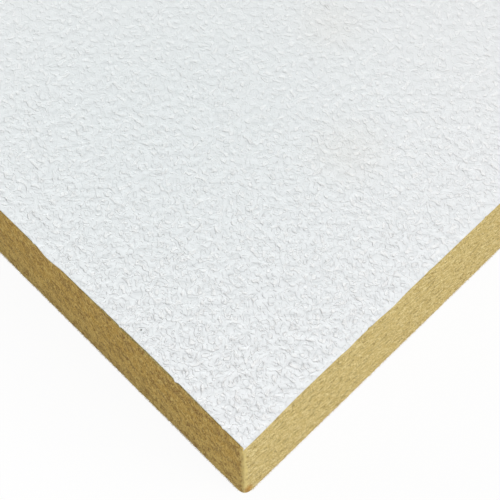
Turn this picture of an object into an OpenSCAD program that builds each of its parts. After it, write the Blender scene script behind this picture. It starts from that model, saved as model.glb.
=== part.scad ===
// Lay-in tile for a suspended ceiling, with square-cut edges.
// A board of resin-bonded wool carries an embossed white sheet on the side that faces the room.
// The tile lies on its back. The origin is the centre of the back, and +Z leaves the white face.

/* [Ceiling grid] */
// Module of the grid along X, from the middle of one tee to the next
module_x = 600; // [300:25:1200]
// Module of the grid along Y
module_y = 600; // [300:25:1200]
// Play of the tile in its module, the gaps at the two opposite edges together
play = 5; // [2:0.5:12]

/* [Wool board] */
// Thickness of the board
board_t = 19.7; // [10:0.1:60]
// Radius to which the four upright corners are worn
corner_r = 1.0; // [0.3:0.1:5]
// Radius to which the arris round the back is worn
back_arris_r = 0.6; // [0.2:0.1:4]

/* [Facing sheet] */
// Thickness of the sheet, measured over the embossing
facing_t = 0.3; // [0.2:0.05:2]
// Radius by which the knife turns the sheet's cut edge down
facing_arris_r = 0.15; // [0.05:0.05:1]

/* [Hidden] */
$fn = 48;

tile_x = module_x - play;
tile_y = module_y - play;

// A rounding takes at most half of the wall it is on
back_round_r = min(back_arris_r, board_t / 2);
facing_round_r = min(facing_arris_r, facing_t / 2);

wool_colour = [0.78, 0.69, 0.44];
facing_colour = [0.90, 0.92, 0.92];

// Plan of the board: a rectangle about the origin, with its four corners rounded
module worn_plan(size_x, size_y, r) {
    square([size_x - 2 * r, size_y], center = true);
    square([size_x, size_y - 2 * r], center = true);
    for (side_x = [-1, 1], side_y = [-1, 1])
        translate([side_x * (size_x / 2 - r), side_y * (size_y / 2 - r)])
            circle(r);
}

// Section across a sheet: it stands on the first axis, with its two lower corners rounded
module worn_section(width, height, r) {
    translate([-width / 2 + r, 0])
        square([width - 2 * r, height]);
    translate([-width / 2, r])
        square([width, height - r]);
    for (side = [-1, 1])
        translate([side * (width / 2 - r), r])
            circle(r);
}

// Sheet of the tile's plan with square corners, and with the arris round its underside rounded
module worn_sheet(height, r) {
    intersection() {
        rotate([90, 0, 0])
            linear_extrude(tile_y, center = true)
                worn_section(tile_x, height, r);
        rotate([90, 0, 90])
            linear_extrude(tile_x, center = true)
                worn_section(tile_y, height, r);
    }
}

// The board of wool: its upright corners and the arris round its back are worn, its room side is sharp
module wool_board() {
    color(wool_colour)
        intersection() {
            worn_sheet(board_t, back_round_r);
            linear_extrude(board_t)
                worn_plan(tile_x, tile_y, corner_r);
        }
}

// The sheet on the board's room side, cut flush with the board's edges and pointed at the corners
module facing() {
    color(facing_colour)
        translate([0, 0, board_t + facing_t])
            mirror([0, 0, 1])
                worn_sheet(facing_t, facing_round_r);
}

wool_board();
facing();
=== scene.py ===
"""Looks of a lay-in ceiling tile: a board of bonded wool with an embossed white sheet on its room side."""

import math
import random

import bmesh
import bpy
from mathutils import Matrix, Vector


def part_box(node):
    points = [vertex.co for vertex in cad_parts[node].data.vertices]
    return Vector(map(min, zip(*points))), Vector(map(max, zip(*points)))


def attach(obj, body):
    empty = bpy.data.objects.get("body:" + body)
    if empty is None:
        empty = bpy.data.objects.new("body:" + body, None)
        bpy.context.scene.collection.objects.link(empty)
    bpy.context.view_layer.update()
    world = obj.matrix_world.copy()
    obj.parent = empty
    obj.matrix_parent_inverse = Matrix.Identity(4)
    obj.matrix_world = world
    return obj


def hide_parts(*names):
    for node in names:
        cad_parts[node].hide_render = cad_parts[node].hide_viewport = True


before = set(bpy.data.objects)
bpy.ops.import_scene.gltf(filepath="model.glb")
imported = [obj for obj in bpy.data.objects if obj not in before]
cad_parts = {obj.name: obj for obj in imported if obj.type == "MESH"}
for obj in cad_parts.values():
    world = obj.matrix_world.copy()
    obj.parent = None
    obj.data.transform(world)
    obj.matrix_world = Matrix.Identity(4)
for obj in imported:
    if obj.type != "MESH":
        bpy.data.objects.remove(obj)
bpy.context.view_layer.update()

MM = 0.001

# Sizes from the frame
board_low, board_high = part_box("wool_board")
facing_low, facing_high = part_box("facing")
half = facing_high.x
near_corner = Vector((facing_high.x, facing_low.y, facing_high.z))

# What the picture takes in, by the distances from the near corner along its two edges:
# the largest difference and the largest sum of the two on the face, and the largest along an edge
seen_half_width = 50 * MM
seen_depth = 91 * MM
seen_edge = 50 * MM

# Embossing of the facing: its cells, its depth, the band over which the mesh leaves it to the material,
# the folds in a cell, and the share of the depth that is smooth enough for the mesh to carry
emboss_cell = 1.0 * MM
emboss_depth = 0.30 * MM
emboss_fade = 6 * MM
fold_count = 1.5
swell_share = 0.5
# The embossing is crispest at the near corner and softer from there on, and the cut rim is flattened
crisp_reach = 90 * MM
crisp_least = 0.32
rim_width = 1.5 * MM
rim_least = 0.62

# Colours of the facing: its hollows and its plateaus, each where the embossing is softest and crispest.
# They are painted light and shade: the hollows are darker than the plateaus for the shade that falls in
# them, and the whole face is lighter where the embossing is crisp, to make up for the shade of its deeper
# bump
shaded_hollow_colours = ((0.755, 0.773, 0.776, 1), (0.935, 0.955, 0.972, 1))
shaded_plateau_colours = ((0.796, 0.813, 0.816, 1), (0.961, 0.981, 0.998, 1))
# Painted shade in the creases
crease_shade_colour = (0.55, 0.58, 0.59, 1)
# Painted highlight on the crests
crest_highlight_colour = (1.0, 1.0, 1.0, 1)

# Cut edge of the facing: how far it lies in from the board's side, how far the knife turns it down and over
# what width, and the width over which a stray of the knife moves the sheet
sheet_inset = 0.09 * MM
sheet_drop = 0.015 * MM
drop_width = 0.3 * MM
stray_width = 0.9 * MM
# Where the knife strayed, in millimetres: place along the edge from the near corner, negative on the left
# edge, half the stray's length, and how far inward it went
knife_strays = [
    (-36.2, 0.4, -0.07),
    (-33.4, 2.8, -0.20),
    (-23.4, 0.8, 0.04),
    (-20.6, 0.3, -0.12),
    (-15.5, 15.0, 0.14),
    (-11.1, 0.5, -0.17),
    (-3.3, 0.35, -0.08),
    (1.0, 9.0, -0.20),
    (17.0, 1.6, -0.06),
    (20.6, 0.35, 0.10),
    (24.6, 3.0, -0.10),
    (31.1, 0.7, 0.05),
    (41.6, 0.4, 0.08),
]

# Marks on the face, dirt and tints, and a broad cool patch that is painted shade: distances from the corner
# along the left and the right edge and radius in millimetres, the share of the radius that is even,
# strength and colour
dirt = (0.10, 0.085, 0.07, 1)
warm = (0.80, 0.70, 0.56, 1)
# Painted shade: a cool grey that cools and darkens the face over the left near the corner, as under cooler,
# weaker light
cool_shade = (0.55, 0.71, 0.72, 1)
face_marks = [
    (18.5, 1.6, 0.16, 0.3, 0.95, dirt),
    (36.2, 51.3, 0.6, 0.3, 0.16, dirt),
    (33.8, 46.8, 0.45, 0.3, 0.13, dirt),
    (31.5, 43.5, 0.5, 0.3, 0.22, dirt),
    (21.1, 34.1, 0.9, 0.3, 0.05, dirt),
    (33.6, 49.3, 7.0, 0.0, 0.10, warm),
    (18.3, 36.6, 7.5, 0.0, 0.12, warm),
    (40.0, 20.0, 55.0, 0.0, 0.17, cool_shade),
]

# Cut edges of the wool board: the radii of its upright corners above and at their foot, the height of that
# foot, the radius of the arris round the back, the depth of the lumps and strands, and the level of the
# lumps that lies on the plain side
wool_corner_r = 0.6 * MM
wool_foot_r = 1.2 * MM
wool_foot = 3.5 * MM
wool_arris_r = 0.6 * MM
wool_depth = 0.14 * MM
plain_level = 0.8
# Slant of the strands on the sides that are cut along them and across them, and the layers they lie in
strand_slants = (math.radians(32), math.radians(84))
layer_pitch = 6.5 * MM
first_layer = 3.5 * MM
# Resin stain on the right side at the foot of the near corner, and its width as a share of its height
stain_along = 0.6 * MM
stain_height = 2.0 * MM
stain_r = 1.15 * MM
stain_width = 0.45
# Colours of the wool, each on the sides that are cut along the strands and on those cut across them; the
# deeper, darker amber of the sides cut across them is partly the wool's own tone and partly painted shade,
# for the warm shade on the side that the lamps leave dark
wool_colours = ((0.62, 0.475, 0.16, 1), (0.645, 0.40, 0.065, 1))
dark_wool = ((0.32, 0.22, 0.045, 1), (0.30, 0.145, 0.015, 1))
light_wool = ((0.86, 0.735, 0.37, 1), (0.93, 0.72, 0.235, 1))
# Partly wear and partly painted highlight: frayed fibres, and the light that the rounded upright corner
# catches
frayed_highlight_colour = (0.87, 0.71, 0.27, 1)
stain_colour = (0.46, 0.22, 0.015, 1)

# Shine of the materials, and the share of a pixel over which a bump is measured, small enough for the bump
# to hold from a distance
facing_roughness = 0.6
wool_roughness = 0.9
wool_sheen = 0.1
specular = 0.2
bump_filter = 0.02

# Strands that stand out of the cut along the lower arris, and how many there are where the picture shows
# them and elsewhere
strand_width = 0.022 * MM
strand_lengths = (0.18 * MM, 0.4 * MM)
strand_heights = (0.15 * MM, 0.9 * MM)
strand_root = 0.15 * MM
strand_bend = 0.2 * MM
strand_swing = 1.1
strand_rises = (-0.1, 0.2)
strand_colours = ((0.72, 0.52, 0.18, 1), (0.92, 0.80, 0.42, 1))
strands_per_mm = 65
strands_per_mm_unseen = 3


def ramp(value, low, high):
    """0 at low, 1 at high, and smooth between them."""
    share = min(1.0, max(0.0, (value - low) / (high - low)))
    return share * share * (3 - 2 * share)


def outside_picture(point):
    """How far a point of the face lies outside what the picture takes in."""
    along_left = near_corner.x - point.x
    along_right = point.y - near_corner.y
    beside = abs(along_left - along_right) - seen_half_width
    beyond = along_left + along_right - seen_depth
    return max(0.0, beside, beyond)


def refine(mesh, cell, levels, wanted):
    """Halves the faces that wanted(face, cell) picks, once for each level."""
    for _ in range(levels):
        picked = [face for face in mesh.faces if wanted(face, cell)]
        edges = {edge for face in picked for edge in face.edges}
        bmesh.ops.subdivide_edges(mesh, edges=list(edges), cuts=1, use_grid_fill=True)
        cell /= 2


def add_object(name, mesh, material):
    """Makes an object of a bmesh, smooth-shaded."""
    data = bpy.data.meshes.new(name)
    mesh.to_mesh(data)
    mesh.free()
    data.materials.append(material)
    data.shade_smooth()
    obj = bpy.data.objects.new(name, data)
    bpy.context.collection.objects.link(obj)
    return obj


class Nodes:
    """Short calls for building nodes, in a material or in a geometry tree."""

    def __init__(self, tree):
        self.tree = tree
        self.tree.nodes.clear()

    def add(self, kind, **settings):
        node = self.tree.nodes.new(kind)
        for key, value in settings.items():
            setattr(node, key, value)
        return node

    def put(self, socket, value):
        if isinstance(value, bpy.types.NodeSocket):
            self.tree.links.new(value, socket)
        else:
            socket.default_value = value

    def math(self, operation, first, second=0.0):
        node = self.add("ShaderNodeMath", operation=operation)
        self.put(node.inputs[0], first)
        self.put(node.inputs[1], second)
        return node.outputs[0]

    def total(self, *weighted):
        """Sum of pairs of a value and its weight."""
        result = 0.0
        for value, weight in weighted:
            node = self.add("ShaderNodeMath", operation="MULTIPLY_ADD")
            self.put(node.inputs[0], value)
            self.put(node.inputs[1], weight)
            self.put(node.inputs[2], result)
            result = node.outputs[0]
        return result

    def span(self, value, low, high, to_low=0.0, to_high=1.0):
        """Maps low to high smoothly onto another range."""
        node = self.add("ShaderNodeMapRange", interpolation_type="SMOOTHSTEP")
        self.put(node.inputs["Value"], value)
        self.put(node.inputs["From Min"], low)
        self.put(node.inputs["From Max"], high)
        self.put(node.inputs["To Min"], to_low)
        self.put(node.inputs["To Max"], to_high)
        return node.outputs["Result"]

    def blend(self, share, first, second):
        """Mix of two colours."""
        node = self.add("ShaderNodeMix", data_type="RGBA")
        colours = [socket for socket in node.inputs if socket.type == "RGBA"]
        self.put(node.inputs["Factor"], share)
        self.put(colours[0], first)
        self.put(colours[1], second)
        return next(socket for socket in node.outputs if socket.type == "RGBA")

    def vector(self, operation, first, second):
        node = self.add("ShaderNodeVectorMath", operation=operation)
        self.put(node.inputs[0], first)
        self.put(node.inputs[1], second)
        return node.outputs["Vector"]

    def distance(self, first, second):
        node = self.add("ShaderNodeVectorMath", operation="DISTANCE")
        self.put(node.inputs[0], first)
        self.put(node.inputs[1], second)
        return node.outputs["Value"]

    def scaled(self, vector, by):
        node = self.add("ShaderNodeVectorMath", operation="SCALE")
        self.put(node.inputs[0], vector)
        self.put(node.inputs["Scale"], by)
        return node.outputs["Vector"]

    def parts(self, vector):
        """The X, Y and Z of a vector."""
        node = self.add("ShaderNodeSeparateXYZ")
        self.put(node.inputs[0], vector)
        return node.outputs

    def noise(self, place, cell, detail=1.0, roughness=0.5, output="Fac"):
        """Flat noise whose cells are as wide as cell, a length or a pair of lengths."""
        pair = cell if isinstance(cell, tuple) else (cell, cell)
        node = self.add("ShaderNodeTexNoise", noise_dimensions="2D")
        self.put(node.inputs["Vector"], self.vector("MULTIPLY", place, (1 / pair[0], 1 / pair[1], 0)))
        self.put(node.inputs["Scale"], 1.0)
        self.put(node.inputs["Detail"], detail)
        self.put(node.inputs["Roughness"], roughness)
        return node.outputs[output]

    def warped(self, place, cell, amount):
        """A place moved about by a slow noise."""
        push = self.vector("SUBTRACT", self.noise(place, cell, output="Color"), (0.5, 0.5, 0.5))
        return self.vector("ADD", place, self.scaled(push, amount))

    def turned(self, place, angle):
        """A place in axes that are turned in its plane."""
        node = self.add("ShaderNodeVectorRotate", rotation_type="Z_AXIS")
        self.put(node.inputs["Vector"], place)
        self.put(node.inputs["Angle"], angle)
        return node.outputs["Vector"]

    def crests(self, value, width):
        """Thin lines where a noise crosses its middle."""
        off_middle = self.math("ABSOLUTE", self.math("SUBTRACT", value, 0.5))
        return self.span(off_middle, 0.0, width, 1.0, 0.0)


def material_nodes(name):
    material = bpy.data.materials.new(name)
    material.use_nodes = True
    return material, Nodes(material.node_tree)


def surface(nodes, colour, roughness, height, depth, **constants):
    """Ends a material in a Principled shader with a bump."""
    bump = nodes.add("ShaderNodeBump")
    bump.inputs["Strength"].default_value = 1.0
    bump.inputs["Filter Width"].default_value = bump_filter
    bump.inputs["Distance"].default_value = depth
    nodes.put(bump.inputs["Height"], height)
    shader = nodes.add("ShaderNodeBsdfPrincipled")
    nodes.put(shader.inputs["Base Color"], colour)
    nodes.put(shader.inputs["Roughness"], roughness)
    nodes.put(shader.inputs["Normal"], bump.outputs["Normal"])
    for socket, value in constants.items():
        shader.inputs[socket.replace("_", " ")].default_value = value
    output = nodes.add("ShaderNodeOutputMaterial")
    nodes.put(output.inputs["Surface"], shader.outputs["BSDF"])


def displace(obj, build):
    """Moves an object's vertices by the offset that build() makes of geometry nodes."""
    tree = bpy.data.node_groups.new(obj.name + "_relief", "GeometryNodeTree")
    tree.interface.new_socket("Geometry", in_out="INPUT", socket_type="NodeSocketGeometry")
    tree.interface.new_socket("Geometry", in_out="OUTPUT", socket_type="NodeSocketGeometry")
    nodes = Nodes(tree)
    move = nodes.add("GeometryNodeSetPosition")
    nodes.put(move.inputs["Geometry"], nodes.add("NodeGroupInput").outputs[0])
    nodes.put(move.inputs["Offset"], build(nodes))
    nodes.put(nodes.add("NodeGroupOutput").inputs[0], move.outputs["Geometry"])
    modifier = obj.modifiers.new("relief", "NODES")
    modifier.node_group = tree
    evaluated = obj.evaluated_get(bpy.context.evaluated_depsgraph_get())
    moved = bpy.data.meshes.new_from_object(evaluated)
    moved.name = obj.name
    obj.modifiers.remove(modifier)
    obj.data = moved


def mesh_field(nodes, name, kind="FLOAT"):
    """A field of the mesh, in a geometry tree."""
    node = nodes.add("GeometryNodeInputNamedAttribute", data_type=kind)
    node.inputs["Name"].default_value = name
    return node.outputs["Attribute"]


def shader_field(nodes, name, output="Fac"):
    """A field of the mesh, in a material."""
    return nodes.add("ShaderNodeAttribute", attribute_name=name).outputs[output]


# Facing

def crispness(nodes, place):
    """How crisp the embossing is at a place, and the share of it that the rim has kept."""
    x, y, _ = nodes.parts(place)
    beyond_corner = nodes.math("SUBTRACT", near_corner.x - near_corner.y, nodes.math("SUBTRACT", x, y))
    crisp = nodes.span(beyond_corner, 0, crisp_reach * math.sqrt(2), 1, crisp_least)
    outmost = nodes.math("MAXIMUM", nodes.math("ABSOLUTE", x), nodes.math("ABSOLUTE", y))
    kept = nodes.span(nodes.math("SUBTRACT", half, outmost), 0, rim_width, rim_least, 1)
    return crisp, kept


def emboss(nodes, place):
    """Coarse height of the embossing, the smooth swell in it, its ridge tops, fine threads, and the crease
    lines that the facing's colour darkens as painted shade.
    """
    bent = nodes.warped(place, 1.5 * emboss_cell, 0.45 * emboss_cell)
    broad = nodes.noise(bent, emboss_cell, detail=0)
    islands = nodes.span(broad, 0.44, 0.56)
    some = nodes.span(nodes.noise(place, 1.3 * emboss_cell, detail=0), 0.40, 0.60)
    folded = nodes.warped(bent, 0.6 * emboss_cell, 0.25 * emboss_cell)
    folds = nodes.noise(folded, 0.9 * emboss_cell, detail=0)
    wave = nodes.math("SINE", nodes.math("MULTIPLY", folds, 2 * math.pi * fold_count))
    ridges = nodes.span(wave, 0.0, 1.0)
    tops = nodes.span(wave, 0.55, 1.0)
    frayed = nodes.warped(place, 0.5 * emboss_cell, 0.35 * emboss_cell)
    rings = nodes.crests(nodes.noise(frayed, 0.75 * emboss_cell, detail=0), 0.10)
    broken = nodes.span(nodes.noise(frayed, 0.5 * emboss_cell, detail=0), 0.36, 0.54)
    threads = nodes.math("MULTIPLY", rings, broken)
    creases = nodes.math("MULTIPLY", nodes.crests(nodes.math("ADD", broad, 0.06), 0.07), some)
    height = nodes.total((islands, 0.30), (ridges, 0.24), (some, 0.18), (tops, 0.10))
    return height, nodes.span(broad, 0.30, 0.70), tops, threads, creases


def facing_material():
    material, nodes = material_nodes("facing_white")
    place = nodes.add("ShaderNodeTexCoord").outputs["Object"]
    carved = shader_field(nodes, "carved")
    coarse, swell, tops, threads, creases = emboss(nodes, place)
    in_mesh = nodes.math("MULTIPLY", nodes.math("MULTIPLY", swell, swell_share), carved)
    crisp, kept = crispness(nodes, place)
    depth = nodes.math("MULTIPLY", crisp, kept)
    sharp = nodes.math("MULTIPLY", threads, crisp)
    coarse_share = nodes.span(crisp, crisp_least, 1, 1.25, 0.85)
    height = nodes.total((coarse, coarse_share), (sharp, 0.27))
    left_over = nodes.math("MULTIPLY", nodes.math("SUBTRACT", height, in_mesh), depth)

    # Painted shade and light: hollows coloured darker than plateaus, and the face coloured lighter where
    # the embossing is crisp
    shaded_hollow = nodes.blend(crisp, *shaded_hollow_colours)
    shaded_plateau = nodes.blend(crisp, *shaded_plateau_colours)
    colour = nodes.blend(nodes.span(height, 0.0, 0.6), shaded_hollow, shaded_plateau)
    # Painted shade: the crease lines are coloured grey for the shade that falls in them
    crease_shade = nodes.math("MULTIPLY", creases, nodes.math("MULTIPLY", crisp, 0.3))
    colour = nodes.blend(crease_shade, colour, crease_shade_colour)
    # Painted highlight: ridge tops and threads coloured white for the light they catch, more where the
    # embossing is crisp
    crests = nodes.total((tops, 0.75), (sharp, 0.75))
    crest_highlight = nodes.math("MULTIPLY", crests, nodes.span(crisp, 0, 1, 0.2, 1.0))
    colour = nodes.blend(crest_highlight, colour, crest_highlight_colour)
    flat_place = nodes.vector("MULTIPLY", place, (1, 1, 0))
    # Dirt specks and warm tints, and the broad cool patch of painted shade
    for left, right, radius, even, strength, tint in face_marks:
        centre = (near_corner.x - left * MM, near_corner.y + right * MM, 0)
        off_centre = nodes.distance(flat_place, centre)
        reach = nodes.span(off_centre, even * radius * MM, radius * MM, strength, 0.0)
        colour = nodes.blend(reach, colour, tint)
    surface(nodes, colour, facing_roughness, left_over, emboss_depth, Specular_IOR_Level=specular)
    return material


def facing_relief(nodes):
    place = nodes.add("GeometryNodeInputPosition").outputs["Position"]
    swell = emboss(nodes, place)[1]
    level = nodes.math("SUBTRACT", nodes.math("MULTIPLY", swell, mesh_field(nodes, "carved")), 1.0)
    for share in crispness(nodes, place):
        level = nodes.math("MULTIPLY", level, share)
    lift = nodes.math("MULTIPLY", nodes.math("MULTIPLY", level, mesh_field(nodes, "on_face")),
                      emboss_depth * swell_share)
    offset = nodes.add("ShaderNodeCombineXYZ")
    nodes.put(offset.inputs["Z"], lift)
    return offset.outputs["Vector"]


def sheet_edge(along):
    """How far in from the board's side the sheet ends, at a place along the edge from the near corner."""
    inward = sheet_inset
    for place, reach, stray in knife_strays:
        if place * along >= 0:
            inward += stray * MM * (1 - ramp(abs(along / MM - place), 0.0, reach))
    return inward


def cut_rim(vert):
    """Moves a vertex of the sheet to where the knife left its edge; the far edges have no strays."""
    x, y = vert.co.x, vert.co.y
    from_side_x = half - abs(x)
    from_side_y = half - abs(y)
    along_x_side = y - near_corner.y if x > 0 else -2 * half
    along_y_side = x - near_corner.x if y < 0 else 2 * half
    pull_x = sheet_edge(along_x_side) * (1 - ramp(from_side_x, 0.0, stray_width))
    pull_y = sheet_edge(along_y_side) * (1 - ramp(from_side_y, 0.0, stray_width))
    vert.co.x -= math.copysign(1.0, x) * pull_x
    vert.co.y -= math.copysign(1.0, y) * pull_y
    vert.co.z -= sheet_drop * (1 - ramp(min(from_side_x, from_side_y), 0.0, drop_width))


def sheet_face_wanted(face, cell):
    """The faces that the picture takes in are split, and once more at the two near edges."""
    centre = face.calc_center_median()
    if outside_picture(centre) >= 1.5 * cell:
        return False
    if cell > 0.4 * MM:
        return True
    return min(half - centre.x, half + centre.y) < 4 * cell


def make_facing():
    mesh = bmesh.new()
    cells = 19
    bmesh.ops.create_grid(mesh, x_segments=cells, y_segments=cells, size=half)
    refine(mesh, 2 * half / cells, 8, sheet_face_wanted)
    carved = mesh.verts.layers.float.new("carved")
    on_face = mesh.verts.layers.float.new("on_face")
    for vert in mesh.verts:
        vert[carved] = 1 - ramp(outside_picture(vert.co), 0.0, emboss_fade)
        vert[on_face] = 1.0
        vert.co.z = facing_high.z
        cut_rim(vert)
    rim = [edge for edge in mesh.edges if edge.is_boundary]
    side = bmesh.ops.extrude_edge_only(mesh, edges=rim)
    for item in side["geom"]:
        if isinstance(item, bmesh.types.BMVert):
            item.co.z = facing_low.z
            item[on_face] = 0.0
    bmesh.ops.holes_fill(mesh, edges=[edge for edge in mesh.edges if edge.is_boundary], sides=0)
    bmesh.ops.recalc_face_normals(mesh, faces=mesh.faces)
    for edge in rim:
        edge.smooth = False
    obj = add_object("embossed_facing", mesh, facing_material())
    displace(obj, facing_relief)
    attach(obj, "root")
    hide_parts("facing")


# Wool board

def wool_lumps(nodes, cut):
    """The uneven surface of the cut, from about 0 to 1."""
    broad = nodes.noise(cut, 3.5 * MM, detail=0)
    narrow = nodes.noise(cut, 1.3 * MM, detail=0)
    return nodes.total((broad, 0.6), (narrow, 0.4))


def wool_layers(nodes, cut):
    """Dark blotches in the layers that the wool was laid in, from 0 to 1."""
    depth = nodes.math("SUBTRACT", board_high.z - first_layer, nodes.parts(cut)["Y"])
    layer = nodes.math("COSINE", nodes.math("MULTIPLY", depth, 2 * math.pi / layer_pitch))
    blotch = nodes.noise(cut, (1.9 * MM, 3.0 * MM), detail=1.5)
    return nodes.span(nodes.total((blotch, 1.0), (layer, 0.10)), 0.40, 0.78)


def golden_wool(nodes, cut, across):
    """Colour of the wool and the height of its strands; across is 1 where the knife cut across them."""
    slant = nodes.span(across, 0, 1, *strand_slants)
    slanted = nodes.warped(nodes.turned(cut, slant), 1.6 * MM, 0.9 * MM)
    strands = nodes.noise(slanted, (1.5 * MM, 0.36 * MM), detail=1)
    dashes = nodes.span(nodes.noise(slanted, (1.3 * MM, 0.6 * MM), detail=0), 0.62, 0.74)
    grain = nodes.noise(nodes.warped(cut, 0.8 * MM, 0.5 * MM), (0.16 * MM, 0.36 * MM), detail=1)

    # Partly painted shade: the sides cut across the strands take a deeper, darker amber
    colour = nodes.blend(across, *wool_colours)
    dark = nodes.blend(across, *dark_wool)
    light = nodes.blend(across, *light_wool)
    # Painted light: the sides cut across the strands are coloured lighter towards the foot, making up for
    # the shade there, where the nearby floor lies in the tile's shadow
    painted_foot_light = nodes.span(nodes.parts(cut)["Y"], 0, 13 * MM, 0.70, 0.0)
    colour = nodes.blend(nodes.math("MULTIPLY", painted_foot_light, across), colour, light)
    blotches = nodes.math("MULTIPLY", wool_layers(nodes, cut), nodes.span(across, 0, 1, 0.2, 0.75))
    colour = nodes.blend(blotches, colour, dark)
    showing = nodes.span(across, 0, 1, 0.72, 0.78)
    bright = nodes.span(strands, 0.48, 0.66)
    colour = nodes.blend(nodes.math("MULTIPLY", bright, showing), colour, light)
    colour = nodes.blend(nodes.math("MULTIPLY", dashes, showing), colour, dark)
    colour = nodes.blend(nodes.span(grain, 0.50, 0.68, 0.0, 0.7), colour, light)
    colour = nodes.blend(nodes.span(grain, 0.50, 0.32, 0.0, 0.55), colour, dark)
    return colour, nodes.total((strands, 0.6), (dashes, -0.3), (grain, 0.4))


def wool_material():
    material, nodes = material_nodes("golden_wool")
    cut = shader_field(nodes, "cut", "Vector")
    colour, height = golden_wool(nodes, cut, shader_field(nodes, "across"))
    # A lighter band down the upright corner: partly frayed fibres, partly painted highlight for the light
    # that the rounded corner catches
    from_corner = nodes.math("ABSOLUTE", nodes.parts(cut)["X"])
    frayed = nodes.total((from_corner, 1.0), (nodes.noise(cut, (0.4 * MM, 1.2 * MM)), 0.9 * MM))
    colour = nodes.blend(nodes.span(frayed, 0.75 * MM, 1.1 * MM, 0.75, 0.0), colour, frayed_highlight_colour)
    squat = nodes.vector("MULTIPLY", cut, (1, stain_width, 0))
    off_stain = nodes.distance(squat, (stain_along, stain_width * stain_height, 0))
    colour = nodes.blend(nodes.span(off_stain, 0.2 * stain_r, stain_r, 0.8, 0.0), colour, stain_colour)
    surface(nodes, colour, wool_roughness, height, wool_depth,
            Specular_IOR_Level=specular, Sheen_Weight=wool_sheen)
    return material


def wool_relief(nodes):
    height = wool_lumps(nodes, mesh_field(nodes, "cut_at", "FLOAT_VECTOR"))
    lift = nodes.math("MULTIPLY", nodes.math("SUBTRACT", height, plain_level), wool_depth)
    return nodes.scaled(mesh_field(nodes, "outward", "FLOAT_VECTOR"), lift)


def round_board(point):
    """The board's worn surface at a point of the plain box, and the way out of it."""
    corner_r = wool_foot_r + (wool_corner_r - wool_foot_r) * ramp(point.z, 0.0, wool_foot)
    inner = Vector((
        max(board_low.x + corner_r, min(board_high.x - corner_r, point.x)),
        max(board_low.y + corner_r, min(board_high.y - corner_r, point.y)),
        max(board_low.z + wool_arris_r, point.z),
    ))
    out = point - inner
    out = Vector((out.x / corner_r, out.y / corner_r, out.z / wool_arris_r)).normalized()
    reach = Vector((out.x * corner_r, out.y * corner_r, out.z * wool_arris_r))
    return inner + reach, out


def way_round(normal, point):
    """Distance along the cut edges from the near corner, and the height, for a face of the plain box."""
    if abs(normal.z) > 0.5:
        return point.x, point.y
    if abs(normal.x) > abs(normal.y):
        along = point.y - near_corner.y if normal.x > 0 else -2 * half - (point.y - near_corner.y)
    else:
        along = point.x - near_corner.x if normal.y < 0 else 2 * half - (point.x - near_corner.x)
    return along, point.z


def wool_face_wanted(face, cell):
    """Faces at the cut edges are split, finest where the picture shows them and at the corners."""
    centre = face.calc_center_median()
    from_side = half - max(abs(centre.x), abs(centre.y))
    from_corner = half - min(abs(centre.x), abs(centre.y))
    from_near = max(near_corner.x - centre.x, centre.y - near_corner.y)
    if from_side > 1.2 * cell:
        return False
    if cell > 2 * MM or from_near < seen_edge + cell or from_corner < 2 * MM:
        return True
    return cell > 1 * MM and centre.z < 1.5 * MM


def make_board():
    mesh = bmesh.new()
    cells = 30
    bmesh.ops.create_grid(mesh, x_segments=cells, y_segments=cells, size=half)
    for vert in mesh.verts:
        vert.co.z = board_high.z
    bottom = bmesh.ops.extrude_face_region(mesh, geom=mesh.faces[:], use_keep_orig=True)
    for item in bottom["geom"]:
        if isinstance(item, bmesh.types.BMVert):
            item.co.z = board_low.z
    bmesh.ops.recalc_face_normals(mesh, faces=mesh.faces)
    refine(mesh, 2 * half / cells, 6, wool_face_wanted)

    cut = mesh.loops.layers.uv.new("cut")
    across = mesh.loops.layers.float.new("across")
    cut_at = mesh.verts.layers.float_vector.new("cut_at")
    outward = mesh.verts.layers.float_vector.new("outward")
    on_cut = set()
    on_back = set()
    for face in mesh.faces:
        for loop in face.loops:
            place = way_round(face.normal, loop.vert.co)
            loop[cut].uv = place
            loop[across] = 1.0 if abs(face.normal.y) > 0.5 else 0.0
            if abs(face.normal.z) < 0.5:
                loop.vert[cut_at] = (*place, 0)
                on_cut.add(loop.vert)
            elif face.normal.z < 0:
                on_back.add(loop.vert)
    for vert in on_cut | on_back:
        vert.co, way_out = round_board(vert.co)
        if vert in on_cut:
            vert[outward] = way_out
    obj = add_object("cut_wool_board", mesh, wool_material())
    displace(obj, wool_relief)
    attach(obj, "root")
    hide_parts("wool_board")


# Loose strands

def strand_material():
    material, nodes = material_nodes("loose_wool")
    place = nodes.add("ShaderNodeTexCoord").outputs["Object"]
    tone = nodes.noise(place, 0.4 * MM)
    colour = nodes.blend(nodes.span(tone, 0.3, 0.7), *strand_colours)
    surface(nodes, colour, wool_roughness, tone, strand_width,
            Specular_IOR_Level=specular, Sheen_Weight=wool_sheen)
    return material


def add_strand(mesh, root, way, length, bend):
    """One thin strand with three sides, from its root in the board to a point."""
    side = way.cross(Vector((0, 0, 1))).normalized()
    lift = side.cross(way)
    rings = []
    for share in (0.0, 0.5):
        middle = root + way * (length * share) + side * (bend * share * share)
        rings.append([
            mesh.verts.new(middle + (side * math.cos(turn) + lift * math.sin(turn)) * strand_width / 2)
            for turn in (math.pi / 2, math.pi * 7 / 6, math.pi * 11 / 6)
        ])
    tip = mesh.verts.new(root + way * length + side * bend)
    mesh.faces.new(rings[0])
    for first in range(3):
        second = (first + 1) % 3
        mesh.faces.new((rings[0][second], rings[0][first], rings[1][first], rings[1][second]))
        mesh.faces.new((rings[1][second], rings[1][first], tip))


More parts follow.
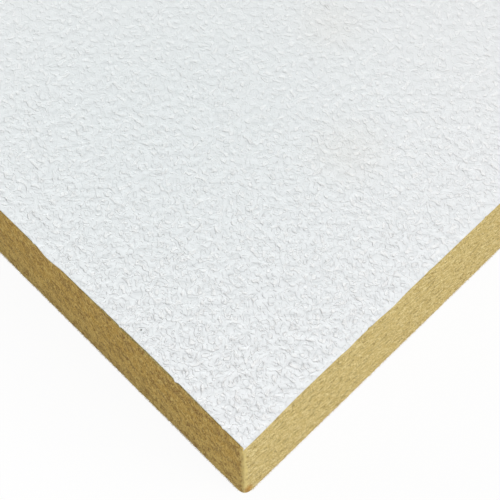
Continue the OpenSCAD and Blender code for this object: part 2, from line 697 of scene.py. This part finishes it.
def make_strands():
    mesh = bmesh.new()
    draw = random.Random(3)
    sides = [
        (Vector((half, -half, 0)), Vector((0, 1, 0)), Vector((1, 0, 0))),
        (Vector((half, -half, 0)), Vector((-1, 0, 0)), Vector((0, -1, 0))),
        (Vector((-half, half, 0)), Vector((0, -1, 0)), Vector((-1, 0, 0))),
        (Vector((-half, half, 0)), Vector((1, 0, 0)), Vector((0, 1, 0))),
    ]
    for start, along, out in sides:
        starts_near = start.y < 0
        place = wool_foot_r
        while place < 2 * half - wool_foot_r:
            is_seen = starts_near and place < seen_edge
            place += draw.uniform(0, 2) * MM / (strands_per_mm if is_seen else strands_per_mm_unseen)
            height = draw.uniform(*strand_heights)
            below = max(0.0, wool_arris_r - height)
            inset = wool_arris_r - math.sqrt(wool_arris_r ** 2 - below ** 2)
            root = start + along * place - out * (inset + strand_root) + Vector((0, 0, height))
            swing = draw.uniform(-strand_swing, strand_swing)
            way = out * math.cos(swing) + along * math.sin(swing)
            way.z += draw.uniform(*strand_rises)
            length = draw.uniform(*strand_lengths)
            add_strand(mesh, root, way.normalized(), length, draw.uniform(-strand_bend, strand_bend))
    bmesh.ops.recalc_face_normals(mesh, faces=mesh.faces)
    obj = add_object("loose_strands", mesh, strand_material())
    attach(obj, "root")


make_facing()
make_board()
make_strands()


# Floor, light and camera

def seen_directly(nodes):
    """1 for rays from the camera and for those that reach it by way of gloss or glass, else 0."""
    path = nodes.add("ShaderNodeLightPath").outputs
    seen = nodes.math("MAXIMUM", path["Is Camera Ray"], path["Is Glossy Ray"])
    return nodes.math("MAXIMUM", seen, path["Is Transmission Ray"])


# The floor: its colour for the light that it throws back, how white it shows, its half width, and its gap
# under the tile
floor_colour = (0.78, 0.73, 0.64, 1)
floor_white = 0.95
floor_half = 6.0
floor_gap = 0.05 * MM
world_light = 0.40
world_colour = (1.0, 0.99, 0.98, 1)
lamp_distance = 3.0
lamp_size = 1.6
# Each lamp: its light on a surface that faces it, where 1 shows a colour as it is written, its colour, and
# its way round and up from the tile in degrees
lamps = {
    "right": (0.54, (1.0, 1.0, 1.0), 14, 31),
    "back": (0.90, (0.99, 1.0, 1.0), 171, 23),
}


def make_floor():
    material, nodes = material_nodes("floor_white")
    plain = nodes.add("ShaderNodeBsdfDiffuse")
    plain.inputs["Color"].default_value = floor_colour
    pale = nodes.add("ShaderNodeBsdfDiffuse")
    pale.inputs["Color"].default_value = (1, 1, 1, 1)
    white = nodes.add("ShaderNodeEmission")
    shown = nodes.add("ShaderNodeMixShader")
    shown.inputs["Fac"].default_value = floor_white
    nodes.put(shown.inputs[1], pale.outputs[0])
    nodes.put(shown.inputs[2], white.outputs[0])
    both = nodes.add("ShaderNodeMixShader")
    nodes.put(both.inputs["Fac"], seen_directly(nodes))
    nodes.put(both.inputs[1], plain.outputs[0])
    nodes.put(both.inputs[2], shown.outputs[0])
    output = nodes.add("ShaderNodeOutputMaterial")
    nodes.put(output.inputs["Surface"], both.outputs[0])

    mesh = bmesh.new()
    bmesh.ops.create_grid(mesh, x_segments=1, y_segments=1, size=floor_half)
    floor = add_object("floor", mesh, material)
    floor.location.z = -floor_gap


def make_world():
    world = bpy.data.worlds.new("studio")
    bpy.context.scene.world = world
    world.use_nodes = True
    nodes = Nodes(world.node_tree)
    soft = nodes.add("ShaderNodeBackground")
    soft.inputs["Color"].default_value = world_colour
    soft.inputs["Strength"].default_value = world_light
    white = nodes.add("ShaderNodeBackground")
    white.inputs["Color"].default_value = (1, 1, 1, 1)
    both = nodes.add("ShaderNodeMixShader")
    nodes.put(both.inputs["Fac"], seen_directly(nodes))
    nodes.put(both.inputs[1], soft.outputs[0])
    nodes.put(both.inputs[2], white.outputs[0])
    output = nodes.add("ShaderNodeOutputWorld")
    nodes.put(output.inputs["Surface"], both.outputs[0])


def make_lamp(name, light_level, colour, turn, height):
    light = bpy.data.lights.new(name, "AREA")
    light.shape = "SQUARE"
    light.size = lamp_size
    light.color = colour
    light.energy = light_level * math.pi ** 2 * lamp_distance ** 2
    lamp = bpy.data.objects.new(name, light)
    bpy.context.collection.objects.link(lamp)
    turn, height = math.radians(turn), math.radians(height)
    way = Vector((math.cos(turn) * math.cos(height), math.sin(turn) * math.cos(height), math.sin(height)))
    lamp.location = way * lamp_distance
    lamp.rotation_euler = way.to_track_quat("Z", "Y").to_euler()
    lamp.visible_camera = False


# The camera stands over the near corner and looks across the tile's diagonal
camera_right = 0.95 * MM
camera_back = 39.30 * MM
camera_above = 122.27 * MM
camera_azimuth = math.radians(45.831)
camera_pitch = math.radians(62.385)
camera_roll = math.radians(0.555)
focal_px = 1150
picture_px = 500
sensor_mm = 36


def make_camera():
    data = bpy.data.cameras.new("camera")
    data.sensor_width = sensor_mm
    data.lens = focal_px / picture_px * sensor_mm
    data.clip_start = 0.01
    camera = bpy.data.objects.new("camera", data)
    bpy.context.collection.objects.link(camera)
    right = Vector((math.cos(camera_azimuth), math.sin(camera_azimuth), 0))
    ahead = Vector((-math.sin(camera_azimuth), math.cos(camera_azimuth), 0))
    up = Vector((0, 0, 1))
    look = ahead * math.cos(camera_pitch) - up * math.sin(camera_pitch)
    level_up = right.cross(look)
    picture_right = right * math.cos(camera_roll) - level_up * math.sin(camera_roll)
    picture_up = level_up * math.cos(camera_roll) + right * math.sin(camera_roll)
    turn = Matrix((picture_right, picture_up, -look)).transposed().to_4x4()
    place = near_corner + right * camera_right - ahead * camera_back + up * camera_above
    camera.matrix_world = Matrix.Translation(place) @ turn
    bpy.context.scene.camera = camera


make_floor()
make_world()
for lamp_name, settings in lamps.items():
    make_lamp(lamp_name, *settings)
make_camera()
bpy.context.scene.view_settings.view_transform = "Standard"
